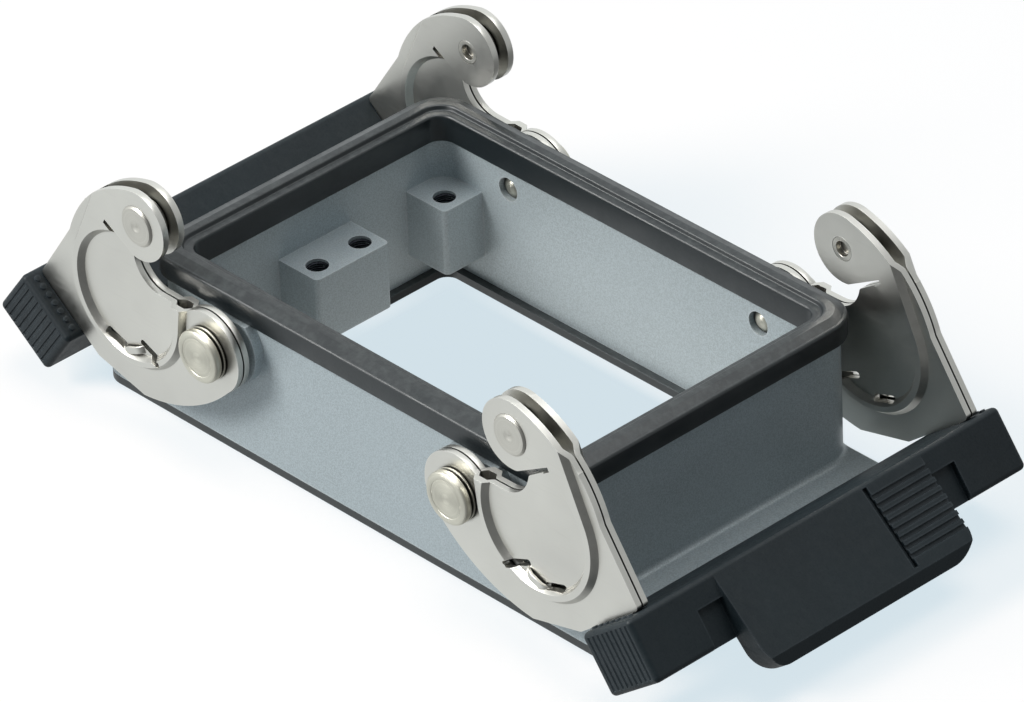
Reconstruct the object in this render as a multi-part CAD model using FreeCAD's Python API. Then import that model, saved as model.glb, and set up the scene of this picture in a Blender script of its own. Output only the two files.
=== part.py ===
import FreeCAD, Part
import math
import os

V = FreeCAD.Vector

# Bulkhead housing of a heavy duty rectangular connector for two inserts side by side,
# with a sheet metal locking lever at each short end. Millimetres, +Z up, X along the housing.
# The origin is at the middle of the underside of the panel gasket.

# Insert pattern: two inserts side by side, each held by four screws
insert_screw_x = 66.0
insert_screw_y = 16.0
insert_pitch = 24.0
insert_core_d = 3.3
insert_core_depth = 9.0

# Housing wall
body_l = 81.0
body_w = 54.0
body_corner_r = 4.5
cavity_corner_r = 3.2
wall_t = 2.6
wall_top_z = 25.3

# Flange and panel gasket
gasket_t = 1.3
gasket_lip = 1.2
flange_l = 106.0
flange_t = 2.8
flange_corner_r = 3.5
foot_fillet = 0.9
fix_screw_x = 94.0
fix_screw_y = 40.0
fix_hole_d = 4.4

# Insert-screw bosses
boss_top_z = 16.0
boss_h = 10.5
boss_reach = 3.0
boss_half_w = 2.8
boss_edge_r = 0.8

# Rim seal
seal_out = 1.0
seal_in = 0.8
seal_top_z = 27.2
seal_shoulder = 0.7
seal_ridge_in = 1.9
seal_ridge_w = 1.2
seal_skirt_out_z = 23.2
seal_skirt_in_z = 22.2
seal_gap = 0.05
seal_bevel = 0.3

# Pivots of the levers: a pad on the wall, and a spigot on it that the inner plate rests against
pivot_x = 24.6
pivot_z = 18.8
pad_r = 6.2
pad_h = 1.6
spigot_r = 3.4
spigot_h = 2.5
stud_shank_d = 5.0
stud_head_d = 7.9
stud_head_t = 1.1
stud_rim_r = 0.37
stud_collar_t = 0.35
stud_groove_t = 0.4
stud_groove_d = 6.4
stud_tail_d = 3.6
stud_tail_in = 0.9
stud_tip_d = 1.6
stud_tip_t = 0.5
rivet_fit = 0.02
pivot_play = 0.06
plate_play = 0.15

# Stamped plates of the levers, in lever coordinates: u outward, w up, from the pivot
sheet_t = 1.0
emboss_h = 0.9
rim_u = 15.7
rim_w = 2.5
rim_r = 11.5
rim_top_r = 10.8
dish_u = 15.6
dish_w = 2.4
dish_r = 9.2
dish_top_r = 9.9
hook_u = 12.0
hook_w = 15.3
hook_r = 5.3
hook_emboss_r = 9.5
hook_emboss_top_r = 8.8
hook_low_deg = -78.0
hook_top_deg = 75.0
lobe_r = 6.2
lobe_degs = (52.0, 165.0, 232.0)
peg_seat_u = 9.6
peg_seat_w = 9.2
peg_seat_r = 4.2
peg_seat_flare = 0.5
peg_seat_degs = (4.0, -42.0, -92.0)
slit_end_u = 18.9
slit_end_w = 13.4
slit_w = 0.7
arm_mid_u = 22.2
arm_mid_w = 15.8
arm_end_u = 27.6
arm_end_w = 7.6
shoulder_u = 34.4
shoulder_w = -2.3
heel_u = 23.2
heel_w = -11.1
belly_u = 14.0
belly_w = -13.4
flank_u = 4.6
flank_w = -10.9
slot_w = 1.0
slot_ends = (((9.9, -6.2), (13.5, -4.7)), ((17.3, -6.5), (20.3, -5.5)))
bridge_w = 2.6
bridge_t = 0.8
bridge_deg = 60.0
plate_corner_r = 0.8

# Hook rollers and their rivets
roller_r = 3.3
roller_play = 0.1
roller_bore_play = 0.05
rivet_d = 2.6
rivet_head_d = 6.2
rivet_head_t = 0.35
rivet_dimple_r = 2.4
rivet_dimple_deep = 0.19
rivet_tail_d = 3.6
rivet_tail_bore_d = 2.3
rivet_tail_bore_t = 0.9

# Handles: section axes run down the front face (s) and out of it (n), from the upper front edge
handle_tilt_deg = 37.0
handle_u = 35.2
handle_w = -1.9
handle_depth = 11.4
handle_face = 9.3
handle_l = 69.0
handle_edge_r = 0.8
tab_l = 38.6
tab_s0 = 0.7
tab_s1 = 15.6
tab_raise = 3.0
tab_lip = 2.0
tab_lip_drop = 1.3
tab_t = 3.5
tab_root = 1.5
tab_corner_r = 4.0
rib_zone_l = 10.2
rib_pitch = 1.3
rib_depth = 0.35
groove_w = 0.8
pocket_l = 4.6
pocket_depth = 1.0
pocket_s0 = 3.6
tongue_s = 6.4
tongue_n0 = 3.0
tongue_n1 = 9.0
tongue_play = 0.08
tongue_root = 1.5
stud_row_count = 7
stud_row_d = 0.9
stud_row_h = 0.25
stud_row_in = 1.7
stud_row_root = 0.2

# How far a cutting shape runs past the face that it cuts
past = 1.0

# Values that follow
half_l = body_l / 2
half_w = body_w / 2
flange_top_z = gasket_t + flange_t
screw_x = insert_screw_x / 2
screw_y_outer = (insert_pitch + insert_screw_y) / 2
screw_y_inner = (insert_pitch - insert_screw_y) / 2
spigot_y = half_w + spigot_h
plate_inner_y = spigot_y + plate_play
contact_y = plate_inner_y + sheet_t
stud_seat_y = contact_y + sheet_t + plate_play
tilt = math.radians(handle_tilt_deg)


def rounded_plate(length, width, radius, z0, z1):
    """Upright prism with a rounded rectangle as its plan."""
    hx = length / 2
    hy = width / 2
    box = Part.makeBox(length, width, z1 - z0, V(-hx, -hy, z0))
    upright = [e for e in box.Edges if abs(e.Vertexes[0].X - e.Vertexes[1].X) < 1e-6
               and abs(e.Vertexes[0].Y - e.Vertexes[1].Y) < 1e-6]
    return box.makeFillet(radius, upright)


def outline(out, z0, z1):
    """Prism of the housing's outer outline, moved out by a distance."""
    return rounded_plate(body_l + 2 * out, body_w + 2 * out, body_corner_r + out, z0, z1)


def cavity(into, z0, z1):
    """Prism of the housing's opening, moved in by a distance."""
    less = 2 * (wall_t + into)
    return rounded_plate(body_l - less, body_w - less, cavity_corner_r - into, z0, z1)


def pivot_bore(diameter, y0, y1):
    """Cylinder along Y at the front right pivot, between two distances from the middle plane."""
    return Part.makeCylinder(diameter / 2, y1 - y0, V(pivot_x, -y0, pivot_z), V(0, -1, 0))


def four_ways(shape):
    """The same shape at all four pivots."""
    back = shape.mirror(V(0, 0, 0), V(0, 1, 0))
    pair = [shape, back]
    return pair + [s.mirror(V(0, 0, 0), V(1, 0, 0)) for s in pair]


def boss(y0, y1):
    """One insert-screw boss on the inside of the right end wall."""
    x0 = screw_x - boss_reach
    block = Part.makeBox(half_l - wall_t / 2 - x0, y1 - y0, boss_h, V(x0, y0, boss_top_z - boss_h))
    corners = []
    for e in block.Edges:
        a, b = e.Vertexes[0], e.Vertexes[1]
        if abs(a.X - x0) < 1e-6 and abs(b.X - x0) < 1e-6 and abs(a.Z - b.Z) > 1e-6:
            corners.append(e)
    return block.makeFillet(boss_edge_r, corners)


def make_housing():
    flange = rounded_plate(flange_l, body_w, flange_corner_r, gasket_t, flange_top_z)
    body = flange.fuse([outline(0, gasket_t, wall_top_z), foot_fillet_band()])
    body = body.cut(cavity(0, gasket_t - past, wall_top_z + past))
    inner_w = half_w - wall_t / 2
    blocks = [boss(screw_y_outer - boss_half_w, inner_w), boss(-inner_w, -screw_y_outer + boss_half_w),
              boss(-screw_y_inner - boss_half_w, screw_y_inner + boss_half_w)]
    blocks += [b.mirror(V(0, 0, 0), V(1, 0, 0)) for b in blocks]
    body = body.fuse(blocks)
    body = body.fuse(four_ways(pivot_pad()))
    cuts = four_ways(pivot_bore(stud_tail_d + 2 * rivet_fit, half_w - 2 * wall_t, spigot_y + past))
    for sx in (-1, 1):
        for y in (-screw_y_outer, -screw_y_inner, screw_y_inner, screw_y_outer):
            cuts.append(Part.makeCylinder(insert_core_d / 2, insert_core_depth + past,
                                          V(sx * screw_x, y, boss_top_z - insert_core_depth)))
        for sy in (-1, 1):
            cuts.append(Part.makeCylinder(fix_hole_d / 2, flange_t + 2 * past,
                                          V(sx * fix_screw_x / 2, sy * fix_screw_y / 2, gasket_t - past)))
    return body.cut(cuts).removeSplitter()


def pivot_pad():
    """Pad under the front right lever, cut flat below the seal, with a spigot for the inner plate."""
    inside_wall = half_w - wall_t / 2
    pad = pivot_bore(2 * pad_r, inside_wall, half_w + pad_h)
    cut_z = seal_skirt_out_z - seal_gap
    above = Part.makeBox(2 * pad_r, 2 * body_w, pad_r, V(pivot_x - pad_r, -body_w, cut_z))
    return pad.cut(above).fuse(pivot_bore(2 * spigot_r, inside_wall, spigot_y))


def foot_fillet_band():
    """Hollow fillet between the end walls and the flange, in short lofts trimmed to its width."""
    steps = 4
    places = []
    for i in range(steps + 1):
        turn = math.radians(90.0 * i / steps)
        out = foot_fillet * (1 - math.sin(turn))
        up = foot_fillet * (1 - math.cos(turn))
        places.append((out, flange_top_z + up))
    bands = [outline_loft(*low, *high) for low, high in zip(places[:-1], places[1:])]
    band = bands[0].fuse(bands[1:])
    return band.common(Part.makeBox(flange_l, body_w, wall_top_z, V(-flange_l / 2, -half_w, 0)))


def make_panel_gasket():
    sheet = rounded_plate(flange_l, body_w, flange_corner_r, 0, gasket_t)
    sheet = sheet.cut(cavity(gasket_lip, -past, gasket_t + past))
    for sx in (-1, 1):
        for sy in (-1, 1):
            sheet = sheet.cut(Part.makeCylinder(fix_hole_d / 2, gasket_t + 2 * past,
                                                V(sx * fix_screw_x / 2, sy * fix_screw_y / 2, -past)))
    return sheet


def outline_loft(offset0, z0, offset1, z1):
    """Loft between two outlines of the rim at different heights."""
    wires = []
    for offset, z in ((offset0, z0), (offset1, z1)):
        flat = outline(offset, z, z + 1)
        face = [f for f in flat.Faces if abs(f.BoundBox.ZMax - z) < 1e-6][0]
        wires.append(face.OuterWire)
    return Part.makeLoft(wires, True, True)


def make_rim_seal():
    shoulder_z = seal_top_z - seal_shoulder
    outside = outline(seal_out, seal_skirt_out_z, shoulder_z).fuse(
        outline(-wall_t / 2, seal_skirt_in_z, seal_skirt_out_z))
    wall = outline(0, seal_skirt_in_z - past, wall_top_z)
    wall = wall.cut(cavity(0, seal_skirt_in_z - 2 * past, wall_top_z + past))
    band = outside.cut([cavity(seal_in, seal_skirt_in_z - past, seal_top_z), wall])
    ridge_out = seal_out - seal_ridge_in
    ridge = outline_loft(seal_out - seal_bevel, shoulder_z, ridge_out, seal_top_z)
    ridge = ridge.cut(outline(ridge_out - seal_ridge_w, shoulder_z - past, seal_top_z + past))
    return band.fuse(ridge).removeSplitter()


def make_stud():
    """Riveted pivot stud: turned head and groove outside, shank in the lever, tail sunk in the wall."""
    head0 = stud_seat_y + stud_collar_t + stud_groove_t
    stud = pivot_bore(stud_shank_d, spigot_y + rivet_fit, stud_seat_y)
    stud = stud.fuse([pivot_bore(stud_head_d, stud_seat_y, stud_seat_y + stud_collar_t),
                      pivot_bore(stud_groove_d, stud_seat_y + stud_collar_t, head0),
                      pivot_bore(stud_head_d, head0, head0 + stud_head_t),
                      pivot_bore(stud_tail_d, half_w - wall_t + stud_tail_in, spigot_y + rivet_fit)])
    tip = Part.makeCone(stud_tail_d / 2, stud_tip_d / 2, stud_tip_t,
                        V(pivot_x, -half_w + wall_t - stud_tail_in, pivot_z), V(0, 1, 0))
    stud = stud.fuse(tip).removeSplitter()
    rim = [e for e in stud.Edges if abs(e.BoundBox.YMin + head0 + stud_head_t) < 1e-6]
    return stud.makeFillet(stud_rim_r, rim)


def arc(p, q, r):
    """Edge of a circle through three points of the lever's plane."""
    return Part.Arc(V(p[0], p[1], 0), V(q[0], q[1], 0), V(r[0], r[1], 0)).toShape()


def line(p, q):
    return Part.LineSegment(V(p[0], p[1], 0), V(q[0], q[1], 0)).toShape()


def on_circle(u, w, radius, degrees):
    a = math.radians(degrees)
    return (u + radius * math.cos(a), w + radius * math.sin(a))


def handle_point(s, n):
    """Point of the handle's section: s down its front face from the top edge, n out of that face."""
    return (handle_u + s * math.sin(tilt) + n * math.cos(tilt),
            handle_w - s * math.cos(tilt) + n * math.sin(tilt))


def prism(edges, h0, h1):
    """Solid between two heights of the lever's plane, from a closed outline."""
    face = Part.Face(Part.Wire(edges))
    face.translate(V(0, 0, h0))
    return face.extrude(V(0, 0, h1 - h0))


def polygon(points, h0, h1):
    closed = list(points) + [points[0]]
    return prism([line(p, q) for p, q in zip(closed[:-1], closed[1:])], h0, h1)


def plate_outline(h0, h1):
    """The lever plate's outline: hook, arm, handle side, belly, pivot lobe and peg seat."""
    hook_low = on_circle(hook_u, hook_w, hook_r, hook_low_deg)
    hook_top = on_circle(hook_u, hook_w, hook_r, hook_top_deg)
    hook_left = (hook_u - hook_r, hook_w)
    across = math.atan2(slit_end_w - hook_low[1], slit_end_u - hook_low[0]) + math.pi / 2
    slit_low = (slit_end_u - slit_w * math.cos(across), slit_end_w - slit_w * math.sin(across))
    seat_top = on_circle(peg_seat_u, peg_seat_w, peg_seat_r + peg_seat_flare, peg_seat_degs[0])
    seat_mid, seat_low = [on_circle(peg_seat_u, peg_seat_w, peg_seat_r, deg) for deg in peg_seat_degs[1:]]
    lobe_top, lobe_left, lobe_low = [on_circle(0, 0, lobe_r, deg) for deg in lobe_degs]
    edges = [arc(hook_low, hook_left, hook_top),
             arc(hook_top, (arm_mid_u, arm_mid_w), (arm_end_u, arm_end_w)),
             line((arm_end_u, arm_end_w), (shoulder_u, shoulder_w)),
             line((shoulder_u, shoulder_w), (heel_u, heel_w)),
             line((heel_u, heel_w), (belly_u, belly_w)),
             arc((belly_u, belly_w), (flank_u, flank_w), lobe_low),
             arc(lobe_low, lobe_left, lobe_top),
             line(lobe_top, seat_low),
             arc(seat_low, seat_mid, seat_top),
             line(seat_top, slit_low),
             line(slit_low, (slit_end_u, slit_end_w)),
             line((slit_end_u, slit_end_w), hook_low)]
    blank = prism(edges, h0, h1)
    corners = []
    for e in blank.Edges:
        a, b = e.Vertexes[0].Point, e.Vertexes[-1].Point
        if abs(a.x - b.x) < 1e-6 and abs(a.y - b.y) < 1e-6 and abs(a.z - b.z) > 1e-6:
            for u, w in ((shoulder_u, shoulder_w), (heel_u, heel_w), seat_top):
                if math.hypot(a.x - u, a.y - w) < 1e-4:
                    corners.append(e)
    return blank.makeFillet(plate_corner_r, corners)


def emboss(h0):
    """The pressed-out form: the hook and a round rim below it, with the dish inside the rim left down."""
    wires = []
    for lift, r1, r2 in ((0.0, hook_emboss_r, rim_r), (emboss_h, hook_emboss_top_r, rim_top_r)):
        gap = math.hypot(rim_u - hook_u, rim_w - hook_w)
        along = math.degrees(math.atan2(rim_w - hook_w, rim_u - hook_u))
        turn = math.degrees(math.acos((r1 - r2) / gap))
        a1 = on_circle(hook_u, hook_w, r1, along + turn)
        a2 = on_circle(hook_u, hook_w, r1, along - turn)
        am = on_circle(hook_u, hook_w, r1, along + 180)
        b1 = on_circle(rim_u, rim_w, r2, along + turn)
        b2 = on_circle(rim_u, rim_w, r2, along - turn)
        bm = on_circle(rim_u, rim_w, r2, along)
        wire = Part.Wire([arc(a2, am, a1), line(a1, b1), arc(b1, bm, b2), line(b2, a2)])
        wire.translate(V(0, 0, h0 + lift))
        wires.append(wire)
    return Part.makeLoft(wires, True, True).cut(dish(h0))


def dish(h0):
    """Round dish inside the rim, widening upward, that ends at the slit below the hook."""
    grow = (dish_top_r - dish_r) / emboss_h
    bowl = Part.makeCone(dish_r, dish_top_r + grow * past, emboss_h + past, V(dish_u, dish_w, h0))
    low = V(*on_circle(hook_u, hook_w, hook_r, hook_low_deg), 0)
    end = V(slit_end_u, slit_end_w, 0)
    along = (end - low).normalize()
    down = V(along.y, -along.x, 0)
    far = 2 * dish_r
    line_ends = [end + along * far, low - along * far]
    corners = line_ends + [p + down * 2 * far for p in reversed(line_ends)]
    return bowl.common(polygon([(c.x, c.y) for c in corners], h0 - past, h0 + emboss_h + past))


def slot(ends):
    """Straight slot with round ends, through the whole pressing."""
    (u0, w0), (u1, w1) = ends
    along = math.degrees(math.atan2(w1 - w0, u1 - u0))
    r = slot_w / 2
    p0 = on_circle(u0, w0, r, along + 90)
    p1 = on_circle(u0, w0, r, along + 180)
    p2 = on_circle(u0, w0, r, along - 90)
    q0 = on_circle(u1, w1, r, along - 90)
    q1 = on_circle(u1, w1, r, along)
    q2 = on_circle(u1, w1, r, along + 90)
    edges = [arc(p0, p1, p2), line(p2, q0), arc(q0, q1, q2), line(q2, p0)]
    return prism(edges, -past, sheet_t + emboss_h + past)


def pressed_sheet(eye_d):
    """One lever plate with its contact face at height 0 and its form pressed out upward."""
    top = sheet_t + emboss_h
    sheet = plate_outline(0, sheet_t)
    raised = emboss(sheet_t).common(plate_outline(0, top))
    sheet = sheet.fuse(raised).cut(emboss(0.0)).removeSplitter()
    corners = [(-tongue_root, -tongue_n0), (tongue_s, -tongue_n0),
               (tongue_s, -tongue_n1), (-tongue_root, -tongue_n1)]
    tongue = polygon([handle_point(*at) for at in corners], 0, sheet_t)
    sheet = sheet.fuse(tongue).removeSplitter()
    cuts = [slot(ends) for ends in slot_ends]
    cuts.append(Part.makeCylinder(stud_shank_d / 2 + pivot_play, top + 2 * past, V(0, 0, -past)))
    cuts.append(Part.makeCylinder(eye_d / 2, top + 2 * past, V(hook_u, hook_w, -past)))
    return sheet.cut(cuts).removeSplitter()


def place(shape, inward):
    """From the lever's plane to the front right lever; inward plates are pressed to the other side."""
    s = shape.copy()
    if inward:
        s = s.mirror(V(0, 0, 0), V(0, 0, 1))
    s.rotate(V(0, 0, 0), V(1, 0, 0), 90)
    s.translate(V(pivot_x, -contact_y, pivot_z))
    return s


def make_bridge():
    """Bent tab of the outer plate that keeps the two plates apart at the root of the hook."""
    r0 = math.hypot(arm_mid_u - rim_u, arm_mid_w - rim_w)
    p = on_circle(rim_u, rim_w, r0 - sheet_t, bridge_deg)
    tab = Part.makeBox(bridge_w, bridge_t, sheet_t, V(-bridge_w / 2, -bridge_t / 2, 0))
    tab.rotate(V(0, 0, 0), V(0, 0, 1), bridge_deg - 90)
    tab.translate(V(p[0], p[1], 0))
    return tab


def make_roller_rivet():
    """Rivet along the roller's axis, flat head on the outer plate and hollow tail in the inner one."""
    half = sheet_t + emboss_h
    head_r = rivet_head_d / 2
    shank = Part.makeCylinder(rivet_d / 2, half + emboss_h, V(hook_u, hook_w, -emboss_h))
    tail = Part.makeCylinder(rivet_tail_d / 2, sheet_t, V(hook_u, hook_w, -half))
    bore = Part.makeCylinder(rivet_tail_bore_d / 2, rivet_tail_bore_t, V(hook_u, hook_w, -half))
    head = Part.makeCone(head_r, head_r - rivet_head_t, rivet_head_t, V(hook_u, hook_w, half))
    dimple_w = half + rivet_head_t + rivet_dimple_r - rivet_dimple_deep
    dimple = Part.makeSphere(rivet_dimple_r, V(hook_u, hook_w, dimple_w))
    return shank.fuse([tail, head]).cut([dimple, bore])


def make_roller():
    width = 2 * emboss_h - 2 * roller_play
    low = -width / 2
    tyre = Part.makeCylinder(roller_r, width, V(hook_u, hook_w, low))
    bore_r = rivet_d / 2 + roller_bore_play
    return tyre.cut(Part.makeCylinder(bore_r, width + 2 * past, V(hook_u, hook_w, low - past)))


def handle_prism(section, y0, y1):
    """Solid with a section given in the handle's own axes, placed on the right lever."""
    pts = []
    for at, out in section:
        u, w = handle_point(at, out)
        pts.append(V(pivot_x + u, y0, pivot_z + w))
    return Part.Face(Part.makePolygon(pts + [pts[0]])).extrude(V(0, y1 - y0, 0))


def handle_box(s0, s1, n0, n1, y0, y1):
    return handle_prism([(s0, n0), (s1, n0), (s1, n1), (s0, n1)], y0, y1)


def tab_face(at):
    """How far the grip tab's face stands out of the bar at a place down the front."""
    return tab_raise * (at - tab_s0) / (tab_s1 - tab_lip - tab_s0)


def grip_tab():
    """Wedge that grows out of the bar's front and ends in a bevelled lip with rounded corners."""
    hl = tab_l / 2
    r = tab_corner_r
    mid = r * (1 - math.sqrt(0.5))
    wedge = handle_prism([(tab_s0, -tab_root), (tab_s0, 0), (tab_s1 - tab_lip, tab_raise),
                          (tab_s1, tab_raise - tab_lip_drop), (tab_s1, tab_raise - tab_t),
                          (handle_face - handle_edge_r, -tab_root)], -hl, hl)
    at = []
    for y, down in ((-hl, 0), (-hl, tab_s1 - r), (-hl + mid, tab_s1 - mid), (-hl + r, tab_s1),
                    (hl - r, tab_s1), (hl - mid, tab_s1 - mid), (hl, tab_s1 - r), (hl, 0)):
        u, w = handle_point(down, -tab_root - past)
        at.append(V(pivot_x + u, y, pivot_z + w))
    edges = [Part.LineSegment(at[0], at[1]).toShape(), Part.Arc(at[1], at[2], at[3]).toShape(),
             Part.LineSegment(at[3], at[4]).toShape(), Part.Arc(at[4], at[5], at[6]).toShape(),
             Part.LineSegment(at[6], at[7]).toShape(), Part.LineSegment(at[7], at[0]).toShape()]
    out = V(math.cos(tilt), 0, math.sin(tilt)) * (tab_raise + tab_root + 2 * past)
    return wedge.common(Part.Face(Part.Wire(edges)).extrude(out))


def make_handle():
    hl = handle_l / 2
    bar = handle_box(0, handle_face, -handle_depth, 0, -hl, hl)
    bar = bar.makeFillet(handle_edge_r, bar.Edges)
    handle = bar.fuse(grip_tab()).removeSplitter()
    cuts = []
    for side in (-1, 1):
        y0, y1 = sorted((side * tab_l / 2, side * (tab_l / 2 + pocket_l)))
        cuts.append(handle_box(pocket_s0, handle_face + past, -pocket_depth, past, y0, y1))
        half_slot = sheet_t + tongue_play
        y0, y1 = sorted((side * (contact_y - half_slot), side * (contact_y + half_slot)))
        cuts.append(handle_box(-past, tongue_s + tongue_play, -tongue_n1 - tongue_play,
                               -tongue_n0 + tongue_play, y0, y1))
    y_rib = tab_l / 2 - rib_zone_l
    end = tab_s1 - tab_lip - rib_pitch / 2
    deep = 2 * rib_depth
    groove = [(tab_s0, -deep), (end, tab_face(end) - deep), (end, tab_raise + past), (tab_s0, past)]
    cuts.append(handle_prism(groove, y_rib - groove_w, y_rib))
    first = tab_s0 + rib_pitch
    for i in range(int((end - first) / rib_pitch)):
        a = first + i * rib_pitch
        b = a + rib_pitch / 2
        between_ribs = [(a, tab_face(a) - rib_depth), (b, tab_face(b) - rib_depth),
                        (b, tab_raise + past), (a, tab_raise + past)]
        cuts.append(handle_prism(between_ribs, y_rib, tab_l / 2 + past))
    handle = handle.cut(cuts)
    marks = []
    pitch = (handle_depth - 2 * handle_edge_r) / stud_row_count
    inward = V(-math.sin(tilt), 0, math.cos(tilt))
    for side in (-1, 1):
        y = side * (handle_l / 2 - stud_row_in)
        for i in range(stud_row_count):
            u, w = handle_point(stud_row_root, -handle_edge_r - (i + 0.5) * pitch)
            foot = V(pivot_x + u, y, pivot_z + w)
            marks.append(Part.makeCylinder(stud_row_d / 2, stud_row_h + stud_row_root, foot, inward))
    return handle.fuse(marks).removeSplitter()


def save(name, shape):
    solids = shape.Solids
    if len(solids) != 1 or not shape.isValid():
        print("CHECK", name, "solids", len(solids), "valid", shape.isValid())
    shape.exportStep("parts/" + name + ".step")


def corner_names(stem):
    return [stem + "_" + end + "_" + side for end in ("right", "left") for side in ("front", "back")]


def main():
    os.makedirs("parts", exist_ok=True)
    save("housing", make_housing())
    save("panel_gasket", make_panel_gasket())
    save("rim_seal", make_rim_seal())
    outer = place(pressed_sheet(rivet_d + 2 * rivet_fit).fuse(make_bridge()).removeSplitter(), False)
    inner = place(pressed_sheet(rivet_tail_d + 2 * rivet_fit), True)
    pieces = {"pivot_stud": make_stud(), "outer_plate": outer, "inner_plate": inner,
              "hook_roller": place(make_roller(), False),
              "roller_rivet": place(make_roller_rivet(), False)}
    for stem, shape in pieces.items():
        for name, copy in zip(corner_names(stem), four_ways(shape)):
            save(name, copy)
    handle = make_handle()
    save("handle_right", handle)
    handle.rotate(V(0, 0, 0), V(0, 0, 1), 180)
    save("handle_left", handle)


main()
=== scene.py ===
import math

import bmesh
import bpy
from mathutils import Matrix, Vector


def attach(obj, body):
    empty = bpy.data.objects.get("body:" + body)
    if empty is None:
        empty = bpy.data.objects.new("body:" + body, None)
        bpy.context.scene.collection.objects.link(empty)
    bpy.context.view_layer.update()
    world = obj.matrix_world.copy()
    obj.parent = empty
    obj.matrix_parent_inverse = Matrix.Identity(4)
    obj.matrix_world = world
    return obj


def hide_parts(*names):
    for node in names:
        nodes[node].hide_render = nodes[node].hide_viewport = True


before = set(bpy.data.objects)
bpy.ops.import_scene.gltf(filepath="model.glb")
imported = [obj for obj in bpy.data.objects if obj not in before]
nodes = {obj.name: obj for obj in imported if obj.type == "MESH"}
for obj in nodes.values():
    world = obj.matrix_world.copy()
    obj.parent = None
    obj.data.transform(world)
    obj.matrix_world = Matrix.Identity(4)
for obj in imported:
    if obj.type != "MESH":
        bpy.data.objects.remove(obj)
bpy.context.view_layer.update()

# Sizes are in millimetres in the part's frame: x along the housing, y across it, z up.

# Housing, as far as its rim seal needs it
BODY_HALF_L = 40.5
BODY_HALF_W = 27.0
BODY_CORNER_R = 4.5
CAVITY_CORNER_R = 3.2
WALL = 2.6

# Section of the rim seal: distance out from the wall's outer face, height, and radius of each corner
SEAL_SECTION = ((0.02, 23.25, 0.1), (0.98, 23.25, 0.25), (0.98, 26.5, 0.45), (0.45, 26.62, 0.2),
                (-0.8, 27.18, 0.3), (-1.95, 27.18, 0.3), (-2.15, 26.5, 0.2), (-3.38, 26.48, 0.45),
                (-3.38, 22.25, 0.25), (-2.62, 22.25, 0.15), (-2.62, 25.3, 0), (0.02, 25.3, 0))

# Axes of the pivot studs and of the hook rollers: distance from the middle, and height
PIVOT = (24.6, 18.8)
HOOK_AXIS = (36.6, 34.1)

# Half section of a pivot stud: radius, and distance from the middle plane
STUD_PROFILE = ((0, 24.82), (0.78, 24.84), (1.78, 25.32), (1.8, 29.5), (2.5, 29.54), (2.5, 31.8),
                (3.85, 31.8), (3.93, 31.88), (3.93, 32.07), (3.85, 32.15), (3.2, 32.17), (3.2, 32.53),
                (3.85, 32.55), (3.94, 32.64), (3.94, 33.25), (3.9, 33.42), (3.78, 33.56), (3.6, 33.62),
                (3.3, 33.645), (2.95, 33.645), (2.88, 33.60), (2.76, 33.60), (2.7, 33.64), (1.2, 33.63),
                (0.5, 33.61), (0, 33.605))

# Insert screws in the bosses, and their thread
SCREW_X = 33.0
SCREW_Y = (4.0, 20.0)
BOSS_TOP_Z = 16.0
CORE_R = 1.65
THREAD_LEAD_IN = 0.5
THREAD_PITCH = 0.7
THREAD_TURNS = 10
# Section of the thread: radius, and height over the middle of the turn
THREAD_SECTION = ((CORE_R + 0.02, 0.3), (CORE_R - 0.24, 0.05), (CORE_R - 0.24, -0.05),
                  (CORE_R + 0.02, -0.3))

# Plane where the two plates of a lever meet, and how far each is set off from it
PAIR_Y = 30.65
SEAM = 0.13

# Handles: their end faces, the lean of their front, and the flutes
HANDLE_HALF_L = 34.5
HANDLE_TILT = math.radians(37)
FLUTE_PITCH = 1.1
FLUTE_DEPTH = 0.18

# Bent strip between a plate's two slots: its ends from the lever's axis, its size, and how it arches
STRIP_ENDS = ((13.2, -5.6), (17.6, -7.3))
STRIP_HALF_W = 0.55
STRIP_T = 0.5
STRIP_Y = 31.65
STRIP_ARCH = ((0.0, 0.0), (0.12, 0.45), (0.3, 0.75), (0.7, 0.75), (0.88, 0.45), (1.0, 0.0))

# Widths of the rounded edges
HOUSING_ROUND = 0.25
GASKET_ROUND = 0.15
STUD_ROUND = 0.04
PRESSED_ROUND = 0.45
CUT_ROUND = 0.22
ROLLER_ROUND = 0.15
RIVET_ROUND = 0.08
HANDLE_ROUND = 0.12
STRIP_ROUND = 0.12
# Turn of the surface, in degrees, from which an edge is rounded: a cut edge, and one that is drawn.
# An edge counts as drawn where both its faces look sideways by more than DRAWN_NORMAL.
SHARP_DEG = 32
PRESSED_DEG = 7
DRAWN_NORMAL = 0.4

# Clean-up of the solids' meshes: points this near are one, and faces this flat are one
WELD = 0.002
FLAT_DEG = 0.4

# Camera, fitted to the photograph: angles in degrees, distances in metres, shift in pixels
CAMERA_TURN = 47.93
CAMERA_DIP = 33.54
CAMERA_ROLL = -2.51
CAMERA_AIM = (0, 0, 0.012)
CAMERA_DISTANCE = 1.286
CAMERA_SENSOR = 36
CAMERA_LENS = 332.75
CAMERA_SHIFT = (7.73, 17.86)
PICTURE_W = 1024

# Studio in metres: where the lamps aim, and half the floor seen through the opening, from its faint
# edge to where it is full
LAMP_AIM = (0, 0, 0.015)
UNDER_X = (0.038, 0.034)
UNDER_Y = (0.025, 0.021)

CORNERS = [(end, side) for end in ("right", "left") for side in ("front", "back")]
END_SIGN = {"right": 1, "left": -1}
SIDE_SIGN = {"front": -1, "back": 1}


def paint(red, green, blue):
    """Linear colour from the 0 to 255 values that a finish is matched to."""
    def linear(v):
        v = v / 255
        return v / 12.92 if v <= 0.04045 else ((v + 0.055) / 1.055) ** 2.4
    return (linear(red), linear(green), linear(blue), 1.0)


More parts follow.
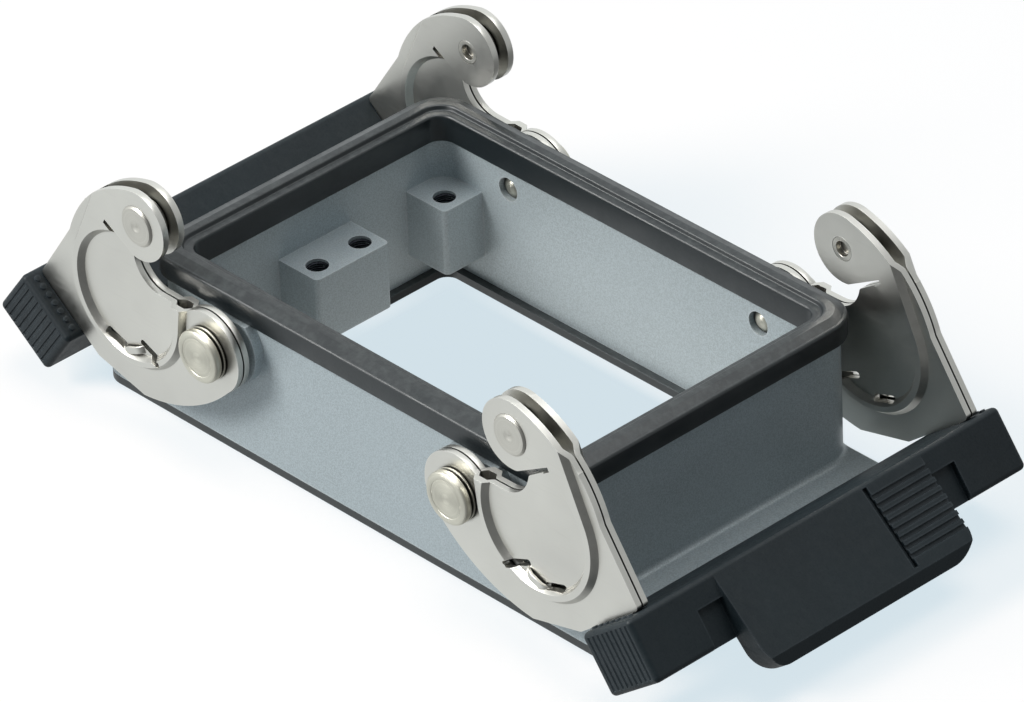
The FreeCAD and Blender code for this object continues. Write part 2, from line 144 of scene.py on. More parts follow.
def set_camera():
    """Camera at the photograph's angle: it looks down at the front right corner."""
    azimuth, elevation, roll = (math.radians(a) for a in (CAMERA_TURN, CAMERA_DIP, CAMERA_ROLL))
    look = Vector((-math.sin(azimuth) * math.cos(elevation), math.cos(azimuth) * math.cos(elevation),
                   -math.sin(elevation)))
    level = Vector((math.cos(azimuth), math.sin(azimuth), 0))
    up = level.cross(look)
    across = level * math.cos(roll) + up * math.sin(roll)
    up = up * math.cos(roll) - level * math.sin(roll)
    camera = bpy.data.objects.new("camera", bpy.data.cameras.new("camera"))
    bpy.context.scene.collection.objects.link(camera)
    rows = zip(across, up, -look)
    place = Vector(CAMERA_AIM) - look * CAMERA_DISTANCE
    camera.matrix_world = Matrix([[*row, at] for row, at in zip(rows, place)] + [[0, 0, 0, 1]])
    camera.data.sensor_width = CAMERA_SENSOR
    camera.data.lens = CAMERA_LENS
    camera.data.shift_x = CAMERA_SHIFT[0] / PICTURE_W
    camera.data.shift_y = CAMERA_SHIFT[1] / PICTURE_W
    bpy.context.scene.camera = camera


def add(tree, kind, sockets=None, **settings):
    """One shader node. sockets holds a value or another node's output for each named input."""
    node = tree.nodes.new("ShaderNode" + kind)
    for name, value in settings.items():
        setattr(node, name, value)
    for name, value in (sockets or {}).items():
        if isinstance(value, bpy.types.NodeSocket):
            tree.links.new(value, node.inputs[name])
        else:
            node.inputs[name].default_value = value
    return node


def maths(tree, operation, *terms):
    """Output of a Math node on numbers or sockets."""
    return add(tree, "Math", dict(enumerate(terms)), operation=operation).outputs[0]


def spread(tree, value, low, high, to_low=0.0, to_high=1.0):
    """Value moved from one range to another and held inside it."""
    sockets = {"Value": value, "From Min": low, "From Max": high, "To Min": to_low, "To Max": to_high}
    return add(tree, "MapRange", sockets).outputs[0]


def noise(tree, place, size_mm, detail=2.0, roughness=0.5, distortion=0.0):
    """Noise whose features are about size_mm across."""
    linked = isinstance(size_mm, bpy.types.NodeSocket)
    scale = maths(tree, "DIVIDE", 1000.0, size_mm) if linked else 1000 / size_mm
    sockets = {"Vector": place, "Scale": scale, "Detail": detail, "Roughness": roughness,
               "Distortion": distortion}
    return add(tree, "TexNoise", sockets).outputs[0]


def blend(tree, share, first, second):
    """Colour between two colours. The numbers are the Mix node's sockets for a factor and colours."""
    mix = tree.nodes.new("ShaderNodeMix")
    mix.data_type = "RGBA"
    for socket, value in ((mix.inputs[0], share), (mix.inputs[6], first), (mix.inputs[7], second)):
        if isinstance(value, bpy.types.NodeSocket):
            tree.links.new(value, socket)
        else:
            socket.default_value = value
    return mix.outputs[2]


def new_group(name, inputs, outputs):
    """Empty node group with float sockets, its inputs as they come in and its outputs to be fed."""
    group = bpy.data.node_groups.new(name, "ShaderNodeTree")
    for label, start in inputs.items():
        socket = group.interface.new_socket(label, in_out="INPUT", socket_type="NodeSocketFloat")
        socket.default_value = start
    for label in outputs:
        group.interface.new_socket(label, in_out="OUTPUT", socket_type="NodeSocketFloat")
    return group, group.nodes.new("NodeGroupInput").outputs, group.nodes.new("NodeGroupOutput").inputs


def place_in(group):
    """Place on the piece in metres, which stays with it when its body moves."""
    return add(group, "TexCoord").outputs["Object"]


def grain_group():
    """Fine lumps of a powder coat, a spark-eroded mould or a plated sheet, in two sizes."""
    group, given, out = new_group("fine_grain", {"Size": 0.5, "Coarse": 3.0},
                                  ["Height", "Speckle", "Cloud"])
    at = place_in(group)
    fine = noise(group, at, given["Size"], 3.0, 0.6)
    coarse = noise(group, at, maths(group, "MULTIPLY", given["Size"], given["Coarse"]), 2.0)
    speck = noise(group, at, maths(group, "MULTIPLY", given["Size"], 0.8), 1.0, 0.4, 0.3)
    both = maths(group, "ADD", maths(group, "MULTIPLY", fine, 0.6),
                 maths(group, "MULTIPLY", coarse, 0.4))
    group.links.new(both, out["Height"])
    group.links.new(spread(group, speck, 0.36, 0.64), out["Speckle"])
    group.links.new(spread(group, noise(group, at, 22.0, 3.0, 0.6), 0.3, 0.7), out["Cloud"])
    return group


def wear_group():
    """Mask of rubbed edges, broken up along the edge."""
    group, given, out = new_group("rubbed_edges", {"Reach": 0.0004, "Amount": 0.5}, ["Mask"])
    rounded = add(group, "Bevel", {"Radius": given["Reach"]}, samples=4).outputs[0]
    normal = add(group, "NewGeometry").outputs["Normal"]
    facing = add(group, "VectorMath", {0: rounded, 1: normal}, operation="DOT_PRODUCT").outputs["Value"]
    edge = spread(group, facing, 0.99, 0.86)
    patches = spread(group, noise(group, place_in(group), 3.5, 4.0, 0.65), 0.35, 0.65, 0.25, 1.0)
    worn = maths(group, "MULTIPLY", maths(group, "MULTIPLY", edge, patches), given["Amount"])
    group.links.new(worn, out["Mask"])
    return group


def press_shade_group():
    """Painted shade masks: on slopes drawn out of the sheet's plane, and in creases and gaps by
    occlusion.
    """
    group, given, out = new_group("painted_press_shade", {"Reach": 0.001}, ["Drawn", "Crease shade"])
    coordinates = add(group, "TexCoord")
    across = add(group, "SeparateXYZ", {0: coordinates.outputs["Normal"]}).outputs[1]
    lean = maths(group, "ABSOLUTE", across)
    # Painted shade on slopes: darker where the surface leans out of the plate's plane, broken into
    # patches.
    drawn = maths(group, "MULTIPLY", spread(group, lean, 0.985, 0.90), spread(group, lean, 0.45, 0.6))
    lumps = noise(group, coordinates.outputs["Object"], 2.5, 3.0, 0.6)
    patches = spread(group, lumps, 0.3, 0.6, 0.6, 1.0)
    # Painted shade from ambient occlusion: darker in creases, gaps and close under neighbouring parts.
    shade = add(group, "AmbientOcclusion", {"Distance": given["Reach"]}, samples=8).outputs["AO"]
    group.links.new(maths(group, "MULTIPLY", drawn, patches), out["Drawn"])
    group.links.new(spread(group, shade, 0.85, 0.45), out["Crease shade"])
    return group


def handling_group():
    """Smudges and hair scratches left by hands and tools."""
    group, given, out = new_group("handling", {"Smudge": 0.5, "Scratch": 0.5}, ["Roughness", "Height"])
    at = place_in(group)
    smudge = spread(group, noise(group, at, 9.0, 4.0, 0.6, 0.6), 0.35, 0.7)
    stretched = add(group, "Mapping", {"Vector": at, "Rotation": (0.4, 0.7, 0.5),
                                       "Scale": (1.0, 18.0, 14.0)})
    hair = spread(group, noise(group, stretched.outputs[0], 6.0, 2.0, 0.5), 0.60, 0.68)
    worn = maths(group, "ADD", maths(group, "MULTIPLY", smudge, given["Smudge"]),
                 maths(group, "MULTIPLY", hair, given["Scratch"]))
    group.links.new(worn, out["Roughness"])
    cut = maths(group, "MULTIPLY", hair, maths(group, "MULTIPLY", given["Scratch"], -1.0))
    group.links.new(cut, out["Height"])
    return group


def turned_group():
    """Rings that a lathe tool leaves round an axis along Y, the same at both ends of the part."""
    group, given, out = new_group("turned_rings", {"Axis X": 0.0246, "Axis Z": 0.0188, "Pitch": 0.12},
                                  ["Height", "Tone"])
    x, _, z = add(group, "SeparateXYZ", {0: place_in(group)}).outputs
    dx = maths(group, "SUBTRACT", maths(group, "ABSOLUTE", x), given["Axis X"])
    dz = maths(group, "SUBTRACT", z, given["Axis Z"])
    radius = maths(group, "SQRT", maths(group, "ADD", maths(group, "POWER", dx, 2.0),
                                        maths(group, "POWER", dz, 2.0)))
    turns = maths(group, "DIVIDE", maths(group, "MULTIPLY", radius, 1000 * math.tau), given["Pitch"])
    group.links.new(maths(group, "SINE", turns), out["Height"])
    band = add(group, "CombineXYZ", {0: maths(group, "MULTIPLY", radius, 3.0)})
    group.links.new(spread(group, noise(group, band.outputs[0], 1.2, 4.0, 0.7), 0.3, 0.7), out["Tone"])
    return group


def dust_group():
    """Pale dust that settles on faces that look up."""
    group, given, out = new_group("settled_dust", {"Amount": 0.3}, ["Mask"])
    coordinates = add(group, "TexCoord")
    up = add(group, "SeparateXYZ", {0: coordinates.outputs["Normal"]}).outputs[2]
    flat = spread(group, up, 0.4, 1.0)
    lumps = spread(group, noise(group, coordinates.outputs["Object"], 1.4, 5.0, 0.7), 0.42, 0.75)
    lying = maths(group, "MULTIPLY", maths(group, "MULTIPLY", flat, lumps), given["Amount"])
    group.links.new(lying, out["Mask"])
    return group


GROUPS = {
    "grain": grain_group(),
    "wear": wear_group(),
    "press_shade": press_shade_group(),
    "handling": handling_group(),
    "turned": turned_group(),
    "dust": dust_group(),
}


def placed(tree, group, **values):
    """A node group in a material, with its own values. Underscores stand for spaces in input names."""
    node = tree.nodes.new("ShaderNodeGroup")
    node.node_tree = GROUPS[group]
    for name, value in values.items():
        node.inputs[name.replace("_", " ")].default_value = value
    return node.outputs


def bumped(tree, height, depth_mm, below=None):
    """Normal of a relief whose full height is depth_mm."""
    sockets = {"Height": height, "Strength": 1.0, "Distance": depth_mm / 1000}
    if below is not None:
        sockets["Normal"] = below
    return add(tree, "Bump", sockets).outputs[0]


def new_material(name):
    """Empty material, its node tree and its shader."""
    material = bpy.data.materials.new(name)
    material.use_nodes = True
    tree = material.node_tree
    return material, tree, tree.nodes["Principled BSDF"]


def feed(tree, shader, **sockets):
    """Sets or links the shader's own sockets. Underscores stand for spaces in their names."""
    for name, value in sockets.items():
        socket = shader.inputs[name.replace("_", " ")]
        if isinstance(value, bpy.types.NodeSocket):
            tree.links.new(value, socket)
        else:
            socket.default_value = value


def coat_finish():
    """Light grey powder coat with a fine metallic speckle."""
    material, tree, shader = new_material("housing_powder_coat")
    grain = placed(tree, "grain", Size=0.26, Coarse=3.0)
    wear = placed(tree, "wear", Reach=0.0005, Amount=0.55)
    hands = placed(tree, "handling", Smudge=0.10, Scratch=0.05)
    dust = placed(tree, "dust", Amount=0.12)
    colour = blend(tree, grain["Speckle"], paint(150, 160, 164), paint(178, 189, 193))
    colour = blend(tree, maths(tree, "MULTIPLY", grain["Cloud"], 0.25), colour, paint(176, 187, 192))
    colour = blend(tree, dust["Mask"], colour, paint(215, 215, 208))
    colour = blend(tree, wear["Mask"], colour, paint(214, 218, 220))
    rough = maths(tree, "ADD", spread(tree, grain["Speckle"], 0.0, 1.0, 0.30, 0.42), hands["Roughness"])
    feed(tree, shader, Base_Color=colour, Roughness=rough,
         Metallic=spread(tree, grain["Speckle"], 0.3, 1.0, 0.08, 0.35),
         Normal=bumped(tree, grain["Height"], 0.025))
    return material


def rubber_finish(name, base, lift, size, depth):
    """Moulded black rubber: faint grain, a worn bloom on edges and a little dust."""
    material, tree, shader = new_material(name)
    grain = placed(tree, "grain", Size=size, Coarse=5.0)
    wear = placed(tree, "wear", Reach=0.0004, Amount=0.35)
    hands = placed(tree, "handling", Smudge=0.16, Scratch=0.0)
    dust = placed(tree, "dust", Amount=0.20)
    colour = blend(tree, maths(tree, "MULTIPLY", grain["Cloud"], 0.5), base, lift)
    colour = blend(tree, wear["Mask"], colour, paint(92, 104, 106))
    colour = blend(tree, dust["Mask"], colour, paint(120, 128, 126))
    rough = maths(tree, "ADD", spread(tree, grain["Height"], 0.3, 0.7, 0.28, 0.40), hands["Roughness"])
    feed(tree, shader, Base_Color=colour, Roughness=rough, Specular_IOR_Level=0.75,
         Normal=bumped(tree, grain["Height"], depth))
    return material


def nickel_finish():
    """Bright nickel plate on rolled sheet, with painted shade on its drawn slopes and in its creases.
    """
    material, tree, shader = new_material("lever_nickel_plate")
    grain = placed(tree, "grain", Size=0.30, Coarse=6.0)
    press_shade = placed(tree, "press_shade", Reach=0.0009)
    wear = placed(tree, "wear", Reach=0.0003, Amount=0.6)
    hands = placed(tree, "handling", Smudge=0.06, Scratch=0.05)
    colour = blend(tree, grain["Cloud"], paint(210, 208, 202), paint(224, 222, 215))
    colour = blend(tree, maths(tree, "MULTIPLY", hands["Roughness"], 0.6), colour, paint(176, 172, 162))
    # Painted shade: darker on the drawn slopes and, more strongly, in creases and gaps.
    colour = blend(tree, maths(tree, "MULTIPLY", press_shade["Drawn"], 0.30), colour, paint(70, 70, 64))
    colour = blend(tree, maths(tree, "MULTIPLY", press_shade["Crease shade"], 0.55), colour, paint(52, 52, 48))
    colour = blend(tree, wear["Mask"], colour, paint(240, 238, 232))
    rough = maths(tree, "ADD", spread(tree, grain["Height"], 0.35, 0.65, 0.28, 0.34),
                  hands["Roughness"])
    below = bumped(tree, grain["Height"], 0.0025)
    feed(tree, shader, Base_Color=colour, Metallic=1.0, Roughness=rough,
         Normal=bumped(tree, hands["Height"], 0.01, below))
    return material


def turned_finish(name, centre, first, second, depth, smooth, rough):
    """Turned metal: tool rings round its own axis, a slightly uneven tone ring to ring, painted shade
    in hollows.
    """
    material, tree, shader = new_material(name)
    rings = placed(tree, "turned", Axis_X=centre[0] / 1000, Axis_Z=centre[1] / 1000, Pitch=0.16)
    grain = placed(tree, "grain", Size=0.25, Coarse=4.0)
    wear = placed(tree, "wear", Reach=0.00025, Amount=0.6)
    hands = placed(tree, "handling", Smudge=0.12, Scratch=0.08)
    press_shade = placed(tree, "press_shade", Reach=0.0013)
    colour = blend(tree, rings["Tone"], first, second)
    # Painted shade: ambient occlusion darkens grooves, gaps and the sunk tails.
    colour = blend(tree, maths(tree, "MULTIPLY", press_shade["Crease shade"], 0.85), colour, paint(38, 38, 36))
    colour = blend(tree, wear["Mask"], colour, paint(238, 236, 230))
    uneven = maths(tree, "ADD", spread(tree, rings["Tone"], 0.0, 1.0, smooth, rough),
                   maths(tree, "MULTIPLY", hands["Roughness"], 0.6))
    below = bumped(tree, rings["Height"], depth)
    feed(tree, shader, Base_Color=colour, Metallic=1.0, Roughness=uneven,
         Normal=bumped(tree, grain["Height"], 0.008, below))
    return material


def thread_finish():
    """Tapped metal without coat, coloured near black as painted shade deep in the holes."""
    material, tree, shader = new_material("tapped_thread")
    grain = placed(tree, "grain", Size=0.2, Coarse=3.0)
    # Near-black colour: painted shade of the deep holes.
    colour = blend(tree, grain["Speckle"], paint(22, 26, 34), paint(52, 56, 62))
    feed(tree, shader, Base_Color=colour, Metallic=0.8,
         Roughness=spread(tree, grain["Height"], 0.3, 0.7, 0.35, 0.5),
         Normal=bumped(tree, grain["Height"], 0.01))
    return material


def plastic_finish():
    """Glass-filled black plastic of the handles, from a spark-eroded mould."""
    material, tree, shader = new_material("handle_moulded_plastic")
    grain = placed(tree, "grain", Size=0.32, Coarse=3.0)
    wear = placed(tree, "wear", Reach=0.0005, Amount=0.4)
    hands = placed(tree, "handling", Smudge=0.14, Scratch=0.10)
    dust = placed(tree, "dust", Amount=0.07)
    colour = blend(tree, grain["Cloud"], paint(14, 24, 29), paint(21, 33, 38))
    colour = blend(tree, maths(tree, "MULTIPLY", grain["Speckle"], 0.3), colour, paint(29, 37, 42))
    colour = blend(tree, wear["Mask"], colour, paint(84, 92, 98))
    colour = blend(tree, dust["Mask"], colour, paint(104, 108, 108))
    rough = maths(tree, "ADD", spread(tree, grain["Height"], 0.3, 0.7, 0.40, 0.54), hands["Roughness"])
    feed(tree, shader, Base_Color=colour, Roughness=rough, Specular_IOR_Level=0.35,
         Normal=bumped(tree, grain["Height"], 0.035))
    return material


FINISH = {
    "housing_coat": coat_finish(),
    "gasket_rubber": rubber_finish("panel_gasket_rubber", paint(20, 25, 26), paint(32, 38, 39),
                                   0.7, 0.03),
    "seal_rubber": rubber_finish("rim_seal_rubber", paint(8, 16, 20), paint(17, 27, 31),
                                 0.45, 0.012),
    "lever_sheet": nickel_finish(),
    "stud_steel": turned_finish("pivot_stud_turned", PIVOT, paint(204, 201, 187),
                                paint(222, 219, 206), 0.012, 0.30, 0.42),
    "roller_steel": turned_finish("hook_roller_ground", HOOK_AXIS, paint(150, 150, 146),
                                  paint(178, 178, 172), 0.006, 0.18, 0.30),
    "rivet_steel": turned_finish("roller_rivet_formed", HOOK_AXIS, paint(198, 195, 186),
                                 paint(216, 213, 205), 0.006, 0.24, 0.34),
    "handle_plastic": plastic_finish(),
}


def show(name, bm, body, slot, node=None, finish=None):
    """Object from a bmesh in millimetres, shaded smooth, on its body and with its slot's finish."""
    for v in bm.verts:
        v.co /= 1000
    for f in bm.faces:
        f.smooth = True
    bmesh.ops.recalc_face_normals(bm, faces=bm.faces)
    mesh = bpy.data.meshes.new(name)
    bm.to_mesh(mesh)
    bm.free()
    mesh.materials.append(finish or FINISH[slot])
    piece = bpy.data.objects.new(name, mesh)
    bpy.context.scene.collection.objects.link(piece)
    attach(piece, body)
    if node:
        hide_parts(node)
    return piece


def soften(piece, width_mm, segments=2, by_weight=False):
    """Rounds the edges of a piece and keeps its flat faces flat in the shading."""
    bevel = piece.modifiers.new("edge_round", "BEVEL")
    bevel.width = width_mm / 1000
    bevel.segments = segments
    bevel.limit_method = "WEIGHT" if by_weight else "ANGLE"
    bevel.angle_limit = math.radians(SHARP_DEG)
    bevel.use_clamp_overlap = True
    piece.modifiers.new("flat_faces", "WEIGHTED_NORMAL").keep_sharp = True


def solid_of(node):
    """A CAD node's mesh in millimetres, welded, with its coplanar triangles joined."""
    bm = bmesh.new()
    bm.from_mesh(nodes[node].data)
    for layer in list(bm.loops.layers.uv.values()):
        bm.loops.layers.uv.remove(layer)
    for v in bm.verts:
        v.co *= 1000
    bmesh.ops.remove_doubles(bm, verts=bm.verts, dist=WELD)
    bmesh.ops.dissolve_limit(bm, angle_limit=math.radians(FLAT_DEG), verts=bm.verts, edges=bm.edges)
    return bm


def dress(node, body, slot, width_mm):
    """The CAD node's own shape with its edges broken as on the real piece."""
    soften(show(node + "_dressed", solid_of(node), body, slot, node), width_mm)


def round_pressing(piece):
    """Rounds a pressed sheet: wide where the press drew it, narrow where it is cut."""
    bm = bmesh.new()
    bm.from_mesh(piece.data)
    weight = bm.edges.layers.float.new("bevel_weight_edge")
    for e in bm.edges:
        if len(e.link_faces) != 2:
            continue
        turn = math.degrees(e.calc_face_angle(0))
        drawn = min(abs(f.normal.y) for f in e.link_faces) > DRAWN_NORMAL
        if drawn and turn > PRESSED_DEG:
            e[weight] = 1.0
        elif turn > SHARP_DEG:
            e[weight] = CUT_ROUND / PRESSED_ROUND
    bm.to_mesh(piece.data)
    bm.free()
    soften(piece, PRESSED_ROUND, 3, by_weight=True)


def lathe(profile, centre, side, steps=72):
    """Turned shape about an axis along Y, from (radius, distance from the middle plane) pairs."""
    bm = bmesh.new()
    rings = []
    for r, y in profile:
        ring = []
        for i in range(steps if r > 0 else 1):
            angle = math.tau * i / steps
            ring.append(bm.verts.new((centre[0] + r * math.cos(angle), side * y,
                                      centre[1] + r * math.sin(angle))))
        rings.append(ring)
    for a, b in zip(rings[:-1], rings[1:]):
        for i in range(steps):
            j = (i + 1) % steps
            corners = [a[i % len(a)], a[j % len(a)], b[j % len(b)], b[i % len(b)]]
            bm.faces.new(list(dict.fromkeys(corners)))
    return bm


def join_rows(bm, rows):
    """Skin over rows of four points each, closed at both ends."""
    for a, b in zip(rows[:-1], rows[1:]):
        for i in range(4):
            j = (i + 1) % 4
            bm.faces.new([a[i], a[j], b[j], b[i]])
    bm.faces.new(rows[0])
    bm.faces.new(rows[-1])


def rounded(profile, steps=4):
    """Closed outline from (x, y, radius) corners, with an arc at each corner that has a radius."""
    points = []
    count = len(profile)
    for i, (x, y, radius) in enumerate(profile):
        here = Vector((x, y))
        if radius == 0:
            points.append(here)
            continue
        back = (Vector(profile[i - 1][:2]) - here).normalized()
        ahead = (Vector(profile[(i + 1) % count][:2]) - here).normalized()
        half = back.angle(ahead) / 2
        reach = radius / math.tan(half)
        centre = here + (back + ahead).normalized() * radius / math.sin(half)
        first = here + back * reach - centre
        last = here + ahead * reach - centre
        for k in range(steps + 1):
            t = k / steps
            arm = first.slerp(last, t) if first.angle(last) > 1e-4 else first
            points.append(centre + arm.normalized() * radius)
    return points


def rim_point(offset, quarter, turn):
    """Point of the rim's outline moved out by offset, at a turn from 0 to 1 through a corner."""
    sx, sy = ((1, 1), (-1, 1), (-1, -1), (1, -1))[quarter]
    angle = (quarter + turn) * math.pi / 2
    radius = max(BODY_CORNER_R + offset, min(CAVITY_CORNER_R, CAVITY_CORNER_R + WALL + offset))
    return (sx * (BODY_HALF_L + offset - radius) + radius * math.cos(angle),
            sy * (BODY_HALF_W + offset - radius) + radius * math.sin(angle))


def sweep_round_rim(section, corner_steps=14, run_steps=6):
    """Section of (offset, height) points carried round the rim's rounded rectangle."""
    bm = bmesh.new()
    stations = []
    for quarter in range(4):
        stations += [(quarter, k / corner_steps, 0) for k in range(corner_steps + 1)]
        stations += [(quarter, 1.0, k / run_steps) for k in range(1, run_steps)]
    loops = []
    for quarter, turn, along in stations:
        loop = []
        for offset, z in section:
            here = Vector(rim_point(offset, quarter, turn))
            ahead = Vector(rim_point(offset, (quarter + 1) % 4, 0.0))
            at = here.lerp(ahead, along)
            loop.append(bm.verts.new((at.x, at.y, z)))
        loops.append(loop)
    for a, b in zip(loops, loops[1:] + loops[:1]):
        for i in range(len(section)):
            j = (i + 1) % len(section)
            bm.faces.new([a[i], a[j], b[j], b[i]])
    return bm


def make_seal():
    """Rim seal that grips the wall's edge, with a raised sealing ridge on its outer half."""
    show("rim_seal_lipped", sweep_round_rim(rounded(SEAL_SECTION)), "base", "seal_rubber", "rim_seal")


def make_studs():
    """Turned pivot studs: shank, collar, groove, crowned head with a rolled rim, and riveted tail."""
    for end, side in CORNERS:
        stem = "pivot_stud_" + end + "_" + side
        bm = lathe(STUD_PROFILE, (END_SIGN[end] * PIVOT[0], PIVOT[1]), SIDE_SIGN[side])
        soften(show(stem + "_turned", bm, "base", "stud_steel", stem), STUD_ROUND)


def make_thread(bm, centre_x, centre_y, steps=24):
    """One thread that winds down from a boss's top, as a closed ribbon."""
    rows = []
    for k in range(steps * THREAD_TURNS + 1):
        angle = math.tau * k / steps
        z = BOSS_TOP_Z - THREAD_LEAD_IN - THREAD_PITCH * k / steps
        ahead = Vector((math.cos(angle), math.sin(angle), 0))
        rows.append([bm.verts.new(Vector((centre_x, centre_y, z + rise)) + ahead * r)
                     for r, rise in THREAD_SECTION])
    join_rows(bm, rows)


def make_threads():
    """Cut thread inside each insert-screw hole."""
    bm = bmesh.new()
    for x_sign in (-1, 1):
        for y_sign in (-1, 1):
            for y in SCREW_Y:
                make_thread(bm, x_sign * SCREW_X, y_sign * y)
    show("insert_screw_threads", bm, "base", "housing_coat", finish=thread_finish())


def lever_point(end, side, u, w, y):
    """Point of a lever, from its place about the lever's axis and its distance from the middle."""
    return (END_SIGN[end] * (PIVOT[0] + u), SIDE_SIGN[side] * y, PIVOT[1] + w)


def make_strips():
    """Bent strip that the press leaves standing between the two slots of each outer plate."""
    low, high = STRIP_ENDS
    along = Vector((high[0] - low[0], high[1] - low[1])).normalized()
    over = Vector((-along.y, along.x)) * STRIP_HALF_W
    for end, side in CORNERS:
        bm = bmesh.new()
        rows = []
        for share, lift in STRIP_ARCH:
            at = Vector(low).lerp(Vector(high), share)
            corners = ((over, lift - STRIP_T), (over, lift), (-over, lift), (-over, lift - STRIP_T))
            rows.append([bm.verts.new(lever_point(end, side, *(at + across), STRIP_Y + height))
                         for across, height in corners])
        join_rows(bm, rows)
        piece = show("press_lance_" + end + "_" + side, bm, "lever_" + end, "lever_sheet")
        soften(piece, STRIP_ROUND)


def cut_across(bm, faces, across, distance):
    """Cuts faces along a plane and returns what they have become."""
    edges = dict.fromkeys(e for f in faces for e in f.edges)
    corners = dict.fromkeys(v for f in faces for v in f.verts)
    cut = bmesh.ops.bisect_plane(bm, geom=[*faces, *edges, *corners], plane_co=across * distance,
                                 plane_no=across)
    return [g for g in cut["geom"] if isinstance(g, bmesh.types.BMFace)]


def flute_ends(bm, end):
    """Fine flutes down both end faces of a handle, parallel to its front."""
    across = Vector((END_SIGN[end] * math.cos(HANDLE_TILT), 0, math.sin(HANDLE_TILT)))
    flat = [f for f in bm.faces if abs(abs(f.calc_center_median().y) - HANDLE_HALF_L) < 0.02]
    for y in (-HANDLE_HALF_L, HANDLE_HALF_L):
        strips = [f for f in flat if f.calc_center_median().y * y > 0]
        reach = [v.co.dot(across) for f in strips for v in f.verts]
        at = min(reach) + FLUTE_PITCH / 2
        grooves = []
        while at < max(reach) - FLUTE_PITCH / 2:
            strips = cut_across(bm, strips, across, at)
            strips = cut_across(bm, strips, across, at + FLUTE_PITCH / 2)
            grooves.append(at + FLUTE_PITCH / 4)
            at += FLUTE_PITCH
        sunk = []
        for f in strips:
            middle = f.calc_center_median().dot(across)
            if any(abs(middle - groove) < FLUTE_PITCH / 8 for groove in grooves):
                sunk.append(f)
        bmesh.ops.inset_region(bm, faces=sunk, thickness=FLUTE_PITCH / 8, depth=-FLUTE_DEPTH,
                               use_even_offset=True)


def open_seam(bm, step):
    """Sets a plate's back off from its twin's, so that a thin dark seam shows between the two edges."""
    for v in bm.verts:
        if abs(abs(v.co.y) - PAIR_Y) < 0.01:
            v.co.y += step


def make_levers():
    """The plates, rollers and rivets of both levers, and their handles."""
    for end, side in CORNERS:
        tail = "_" + end + "_" + side
        for plate in ("outer_plate", "inner_plate"):
            node = plate + tail
            bm = solid_of(node)
            open_seam(bm, SIDE_SIGN[side] * (SEAM if plate == "outer_plate" else -SEAM))
            round_pressing(show(node + "_pressed", bm, "lever_" + end, "lever_sheet", node))
        dress("hook_roller" + tail, "roller" + tail, "roller_steel", ROLLER_ROUND)
        dress("roller_rivet" + tail, "lever_" + end, "rivet_steel", RIVET_ROUND)
    for end in ("right", "left"):
        node = "handle_" + end
        bm = solid_of(node)
        flute_ends(bm, end)
        soften(show(node + "_fluted", bm, "lever_" + end, "handle_plastic", node), HANDLE_ROUND)


def floor_finish():
    """Light table: white where the lamps reach it, pale blue in shadow and under the opening."""
    material, tree, shader = new_material("studio_floor")
    rays = add(tree, "LightPath").outputs
    seen = rays["Is Camera Ray"]
    x, y, _ = add(tree, "SeparateXYZ", {0: add(tree, "NewGeometry").outputs["Position"]}).outputs
    under = maths(tree, "MULTIPLY", spread(tree, maths(tree, "ABSOLUTE", x), *UNDER_X),
                  spread(tree, maths(tree, "ABSOLUTE", y), *UNDER_Y))
    # For light bounced onto the part the floor glows, brighter under the opening, so it lights the
    # housing's inside.
    glow = blend(tree, under, (0.36, 0.39, 0.41, 1), (0.80, 0.76, 0.71, 1))
    lit = blend(tree, under, (0.36, 0.25, 0.19, 1), (0, 0, 0, 1))
    feed(tree, shader, Base_Color=blend(tree, seen, (0.12, 0.12, 0.12, 1), lit), Roughness=0.9,
         Specular_IOR_Level=0.0, Emission_Color=blend(tree, seen, glow, (0.645, 0.752, 0.812, 1)),
         Emission_Strength=1.0)
    return material


def make_floor():
    """Wide table top under the part."""
    bm = bmesh.new()
    bmesh.ops.create_grid(bm, x_segments=8, y_segments=8, size=4.0)
    mesh = bpy.data.meshes.new("floor")
    bm.to_mesh(mesh)
    bm.free()
    mesh.materials.append(floor_finish())
    floor = bpy.data.objects.new("floor", mesh)
    floor.location.z = -0.0003
    floor.visible_glossy = False
    bpy.context.scene.collection.objects.link(floor)


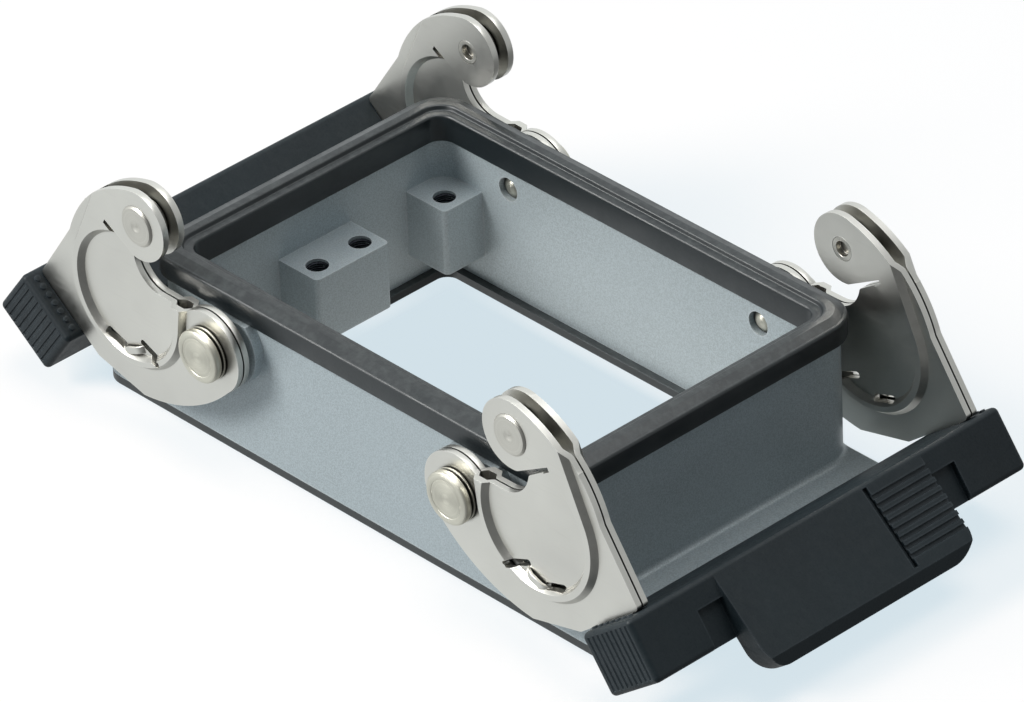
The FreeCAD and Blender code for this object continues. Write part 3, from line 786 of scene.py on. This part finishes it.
def area_lamp(name, place, size, level, colour=(1, 1, 1)):
    """Square soft box aimed at the part. Level 1 lights a white card that faces it to full white."""
    data = bpy.data.lights.new(name, "AREA")
    data.shape = "SQUARE"
    data.size = size
    data.color = colour
    at = Vector(place)
    aim = Vector(LAMP_AIM) - at
    data.energy = level * math.pi ** 2 * aim.length ** 2
    lamp = bpy.data.objects.new(name, data)
    lamp.location = at
    lamp.rotation_euler = aim.to_track_quat("-Z", "Y").to_euler()
    bpy.context.scene.collection.objects.link(lamp)


def light_studio():
    """Two soft boxes and a room that gloss sees bright on the left and dark at the front right."""
    area_lamp("key_box", (-0.50, -0.86, 0.74), 0.55, 0.96, (1.0, 0.995, 0.98))
    area_lamp("top_box", (0.10, 0.15, 1.20), 0.80, 0.40)
    world = bpy.data.worlds.new("studio")
    world.use_nodes = True
    tree = world.node_tree
    rays = add(tree, "LightPath").outputs
    mirrored = maths(tree, "MAXIMUM", rays["Is Glossy Ray"], rays["Is Transmission Ray"])
    x, y, z = add(tree, "SeparateXYZ", {0: add(tree, "TexCoord").outputs["Generated"]}).outputs
    front_or_low = maths(tree, "MAXIMUM", spread(tree, y, 0.3, -0.3), spread(tree, z, -0.1, -0.4))
    shade = maths(tree, "MULTIPLY", spread(tree, x, -0.30, 0.35),
                  spread(tree, front_or_low, 0.0, 1.0, 0.45, 0.88))
    side = maths(tree, "MULTIPLY", maths(tree, "SUBTRACT", 1.0, shade),
                 spread(tree, z, -0.3, 0.3, 0.84, 1.0))
    level = maths(tree, "MAXIMUM", maths(tree, "MULTIPLY", mirrored, side), 0.20)
    room = blend(tree, mirrored, (0.86, 0.94, 1.0, 1), (0.95, 0.99, 1.0, 1))
    background = tree.nodes["Background"]
    tree.links.new(blend(tree, rays["Is Camera Ray"], room, (1, 1, 1, 1)), background.inputs["Color"])
    tree.links.new(maths(tree, "MAXIMUM", level, rays["Is Camera Ray"]), background.inputs["Strength"])
    bpy.context.scene.world = world


bpy.context.scene.view_settings.view_transform = "Standard"
set_camera()
light_studio()
make_floor()
make_seal()
make_studs()
make_threads()
make_levers()
make_strips()
dress("housing", "base", "housing_coat", HOUSING_ROUND)
dress("panel_gasket", "base", "gasket_rubber", GASKET_ROUND)
